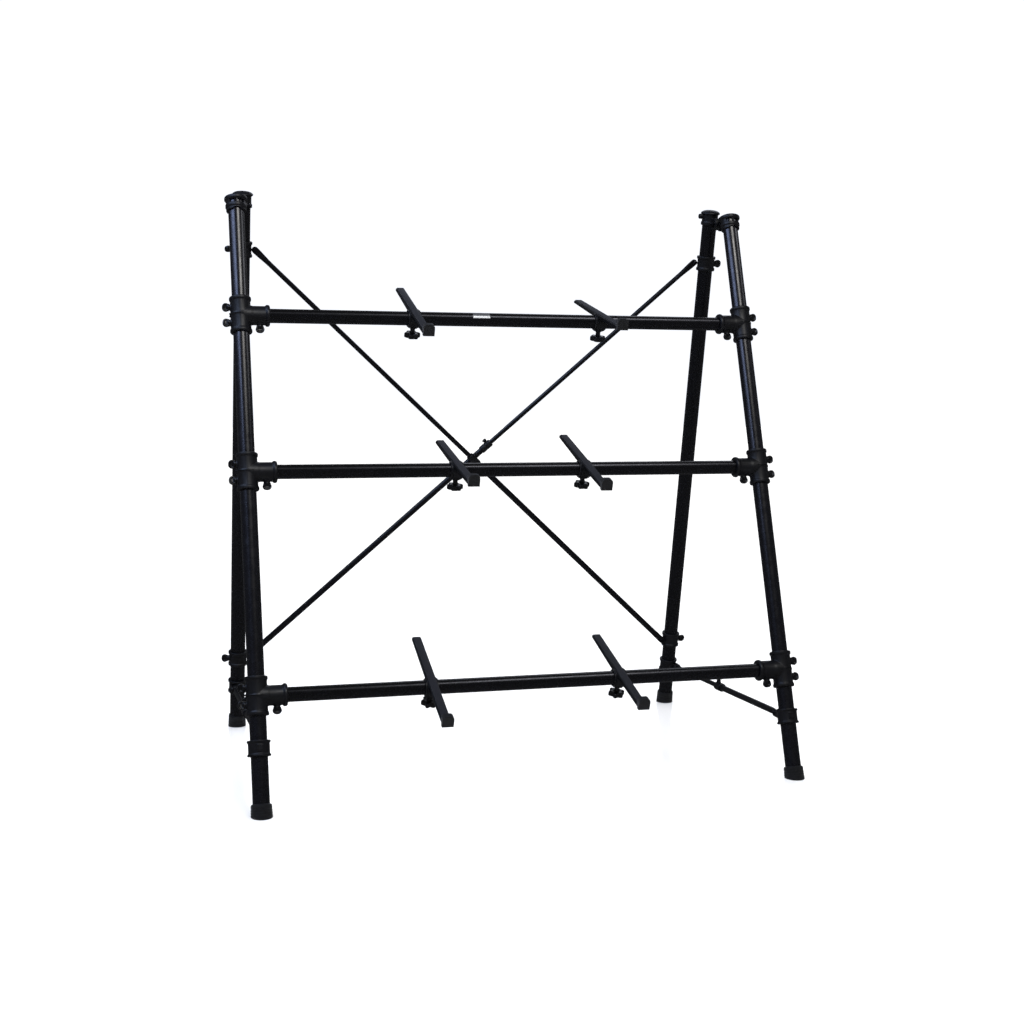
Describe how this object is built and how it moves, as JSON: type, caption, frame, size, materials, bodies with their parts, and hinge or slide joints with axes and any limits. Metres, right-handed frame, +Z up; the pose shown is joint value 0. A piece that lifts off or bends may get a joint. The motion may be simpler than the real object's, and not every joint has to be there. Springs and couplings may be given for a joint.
{
  "type": "keyboard stand",
  "caption": "A-frame stand with round steel legs, height-adjustable crossbars on clamp couplers, tilting cradle arms with rubber pads, and a crossed telescopic rear brace.",
  "frame": {"origin": "on the floor, under the middle of the stand's bounding box", "axes": "+X to the right along the crossbars, +Y from the front feet to the rear feet, +Z up"},
  "size_m": [1.215, 0.8035, 1.2441],
  "materials": {
    "tube_paint": "satin-gloss black powder coat on round steel tube",
    "arm_paint": "satin black paint on folded steel channel",
    "fitting_plastic": "moulded black nylon with a fine satin texture",
    "knob_plastic": "moulded black plastic, slightly glossy",
    "foot_rubber": "matte black rubber",
    "pad_rubber": "charcoal non-slip rubber with a fine grain",
    "liner_nylon": "dark nylon",
    "fastener_steel": "black oxide steel"
  },
  "bodies": {
    "front_frame": {"front_leg_left": "tube_paint", "front_leg_right": "tube_paint", "front_feet": "foot_rubber", "front_hinge_caps": "fitting_plastic", "pivot_bolts": "fastener_steel", "spreader_front_collars": "fitting_plastic"},
    "rear_frame": {"rear_leg_left": "tube_paint", "rear_leg_right": "tube_paint", "rear_feet": "foot_rubber", "rear_hinge_caps": "fitting_plastic", "brace_clamps": "fitting_plastic", "brace_clamp_knobs": "knob_plastic", "brace_outer_a": "tube_paint", "brace_inner_a": "tube_paint", "brace_outer_b": "tube_paint", "brace_inner_b": "tube_paint", "brace_collars": "fitting_plastic", "spreader_rear_clamps": "fitting_plastic", "rear_pivot_pins": "fastener_steel"},
    "spreader_left_outer": {"spreader_outer_left": "tube_paint", "spreader_lock_left": "fitting_plastic"},
    "spreader_left_inner": {"spreader_inner_left": "tube_paint"},
    "spreader_left_screw": {"spreader_screw_left": "knob_plastic"},
    "spreader_right_outer": {"spreader_outer_right": "tube_paint", "spreader_lock_right": "fitting_plastic"},
    "spreader_right_inner": {"spreader_inner_right": "tube_paint"},
    "spreader_right_screw": {"spreader_screw_right": "knob_plastic"},
    "tier_top": {"crossbar_top": "tube_paint", "couplers_top": "fitting_plastic", "coupler_knobs_top": "knob_plastic"},
    "top_left_slider": {"liner_top_left": "liner_nylon"},
    "top_left_arm": {"arm_top_left": "arm_paint", "pad_top_left": "pad_rubber"},
    "top_left_knob": {"star_knob_top_left": "knob_plastic"},
    "top_right_slider": {"liner_top_right": "liner_nylon"},
    "top_right_arm": {"arm_top_right": "arm_paint", "pad_top_right": "pad_rubber"},
    "top_right_knob": {"star_knob_top_right": "knob_plastic"},
    "tier_middle": {"crossbar_middle": "tube_paint", "couplers_middle": "fitting_plastic", "coupler_knobs_middle": "knob_plastic"},
    "middle_left_slider": {"liner_middle_left": "liner_nylon"},
    "middle_left_arm": {"arm_middle_left": "arm_paint", "pad_middle_left": "pad_rubber"},
    "middle_left_knob": {"star_knob_middle_left": "knob_plastic"},
    "middle_right_slider": {"liner_middle_right": "liner_nylon"},
    "middle_right_arm": {"arm_middle_right": "arm_paint", "pad_middle_right": "pad_rubber"},
    "middle_right_knob": {"star_knob_middle_right": "knob_plastic"},
    "tier_bottom": {"crossbar_bottom": "tube_paint", "couplers_bottom": "fitting_plastic", "coupler_knobs_bottom": "knob_plastic"},
    "bottom_left_slider": {"liner_bottom_left": "liner_nylon"},
    "bottom_left_arm": {"arm_bottom_left": "arm_paint", "pad_bottom_left": "pad_rubber"},
    "bottom_left_knob": {"star_knob_bottom_left": "knob_plastic"},
    "bottom_right_slider": {"liner_bottom_right": "liner_nylon"},
    "bottom_right_arm": {"arm_bottom_right": "arm_paint", "pad_bottom_right": "pad_rubber"},
    "bottom_right_knob": {"star_knob_bottom_right": "knob_plastic"}
  },
  "joints": [
    {"name": "frame_fold", "type": "hinge", "parent": "front_frame", "child": "rear_frame", "pos_m": [0, 0.14731, 1.206], "axis": [-1, 0, 0], "range_deg": [0, 11.5]},
    {"name": "spreader_left_swing", "type": "hinge", "parent": "front_frame", "child": "spreader_left_outer", "pos_m": [-0.5595, -0.24185, 0.126], "axis": [-1, 0, 0], "range_deg": [0, 3.96]},
    {"name": "spreader_left_telescope", "type": "slide", "parent": "spreader_left_outer", "child": "spreader_left_inner", "axis": [0, -0.999, 0.0436], "range_m": [0, 0.22251]},
    {"name": "spreader_left_lock_screw", "type": "hinge", "parent": "spreader_left_outer", "child": "spreader_left_screw", "pos_m": [-0.5595, 0.0695, 0.13243], "axis": [0, 0.0436, 0.999], "range_deg": [0, 360]},
    {"name": "spreader_right_swing", "type": "hinge", "parent": "front_frame", "child": "spreader_right_outer", "pos_m": [0.5595, -0.24185, 0.126], "axis": [-1, 0, 0], "range_deg": [0, 3.96]},
    {"name": "spreader_right_telescope", "type": "slide", "parent": "spreader_right_outer", "child": "spreader_right_inner", "axis": [0, -0.999, 0.0436], "range_m": [0, 0.22251]},
    {"name": "spreader_right_lock_screw", "type": "hinge", "parent": "spreader_right_outer", "child": "spreader_right_screw", "pos_m": [0.5595, 0.0695, 0.13243], "axis": [0, 0.0436, 0.999], "range_deg": [0, 360]},
    {"name": "top_tier_height", "type": "slide", "parent": "front_frame", "child": "tier_top", "axis": [0, 0.3355, 0.9421], "range_m": [-0.1, 0.1]},
    {"name": "top_left_arm_slide", "type": "slide", "parent": "tier_top", "child": "top_left_slider", "axis": [1, 0, 0], "range_m": [-0.15, 0.1]},
    {"name": "top_left_arm_tilt", "type": "hinge", "parent": "top_left_slider", "child": "top_left_arm", "pos_m": [-0.201, 0.02876, 0.971], "axis": [1, 0, 0], "range_deg": [-18.5, 21.5]},
    {"name": "top_left_knob_turn", "type": "hinge", "parent": "top_left_arm", "child": "top_left_knob", "pos_m": [-0.201, 0.0405, 0.93591], "axis": [0, -0.3173, 0.9483], "range_deg": [0, 720]},
    {"name": "top_right_arm_slide", "type": "slide", "parent": "tier_top", "child": "top_right_slider", "axis": [1, 0, 0], "range_m": [-0.1, 0.15]},
    {"name": "top_right_arm_tilt", "type": "hinge", "parent": "top_right_slider", "child": "top_right_arm", "pos_m": [0.223, 0.02876, 0.971], "axis": [1, 0, 0], "range_deg": [-11.5, 28.5]},
    {"name": "top_right_knob_turn", "type": "hinge", "parent": "top_right_arm", "child": "top_right_knob", "pos_m": [0.223, 0.03613, 0.93474], "axis": [0, -0.1994, 0.9799], "range_deg": [0, 720]},
    {"name": "middle_tier_height", "type": "slide", "parent": "front_frame", "child": "tier_middle", "axis": [0, 0.3355, 0.9421], "range_m": [-0.1, 0.1]},
    {"name": "middle_left_arm_slide", "type": "slide", "parent": "tier_middle", "child": "middle_left_slider", "axis": [1, 0, 0], "range_m": [-0.15, 0.1]},
    {"name": "middle_left_arm_tilt", "type": "hinge", "parent": "middle_left_slider", "child": "middle_left_arm", "pos_m": [-0.131, -0.08483, 0.652], "axis": [1, 0, 0], "range_deg": [-12, 28]},
    {"name": "middle_left_knob_turn", "type": "hinge", "parent": "middle_left_arm", "child": "middle_left_knob", "pos_m": [-0.131, -0.07714, 0.61581], "axis": [0, -0.2079, 0.9781], "range_deg": [0, 720]},
    {"name": "middle_right_arm_slide", "type": "slide", "parent": "tier_middle", "child": "middle_right_slider", "axis": [1, 0, 0], "range_m": [-0.1, 0.15]},
    {"name": "middle_right_arm_tilt", "type": "hinge", "parent": "middle_right_slider", "child": "middle_right_arm", "pos_m": [0.155, -0.08483, 0.652], "axis": [1, 0, 0], "range_deg": [-16.5, 23.5]},
    {"name": "middle_right_knob_turn", "type": "hinge", "parent": "middle_right_arm", "child": "middle_right_knob", "pos_m": [0.155, -0.07433, 0.61652], "axis": [0, -0.284, 0.9588], "range_deg": [0, 720]},
    {"name": "bottom_tier_height", "type": "slide", "parent": "front_frame", "child": "tier_bottom", "axis": [0, 0.3355, 0.9421], "range_m": [-0.03, 0.12]},
    {"name": "bottom_left_arm_slide", "type": "slide", "parent": "tier_bottom", "child": "bottom_left_slider", "axis": [1, 0, 0], "range_m": [-0.15, 0.1]},
    {"name": "bottom_left_arm_tilt", "type": "hinge", "parent": "bottom_left_slider", "child": "bottom_left_arm", "pos_m": [-0.217, -0.2383, 0.221], "axis": [1, 0, 0], "range_deg": [-21.5, 18.5]},
    {"name": "bottom_left_knob_turn", "type": "hinge", "parent": "bottom_left_arm", "child": "bottom_left_knob", "pos_m": [-0.217, -0.22475, 0.18657], "axis": [0, -0.3665, 0.9304], "range_deg": [0, 720]},
    {"name": "bottom_right_arm_slide", "type": "slide", "parent": "tier_bottom", "child": "bottom_right_slider", "axis": [1, 0, 0], "range_m": [-0.1, 0.15]},
    {"name": "bottom_right_arm_tilt", "type": "hinge", "parent": "bottom_right_slider", "child": "bottom_right_arm", "pos_m": [0.19, -0.2383, 0.221], "axis": [1, 0, 0], "range_deg": [-16.5, 23.5]},
    {"name": "bottom_right_knob_turn", "type": "hinge", "parent": "bottom_right_arm", "child": "bottom_right_knob", "pos_m": [0.19, -0.2278, 0.18552], "axis": [0, -0.284, 0.9588], "range_deg": [0, 720]}
  ],
  "couplings": [
    {"joint": "spreader_left_swing", "follows": "frame_fold", "ratio": 0.34318},
    {"joint": "spreader_left_telescope", "follows": "frame_fold", "m_per_rad": 1.1076},
    {"joint": "spreader_right_swing", "follows": "frame_fold", "ratio": 0.34318},
    {"joint": "spreader_right_telescope", "follows": "frame_fold", "m_per_rad": 1.1076}
  ]
}
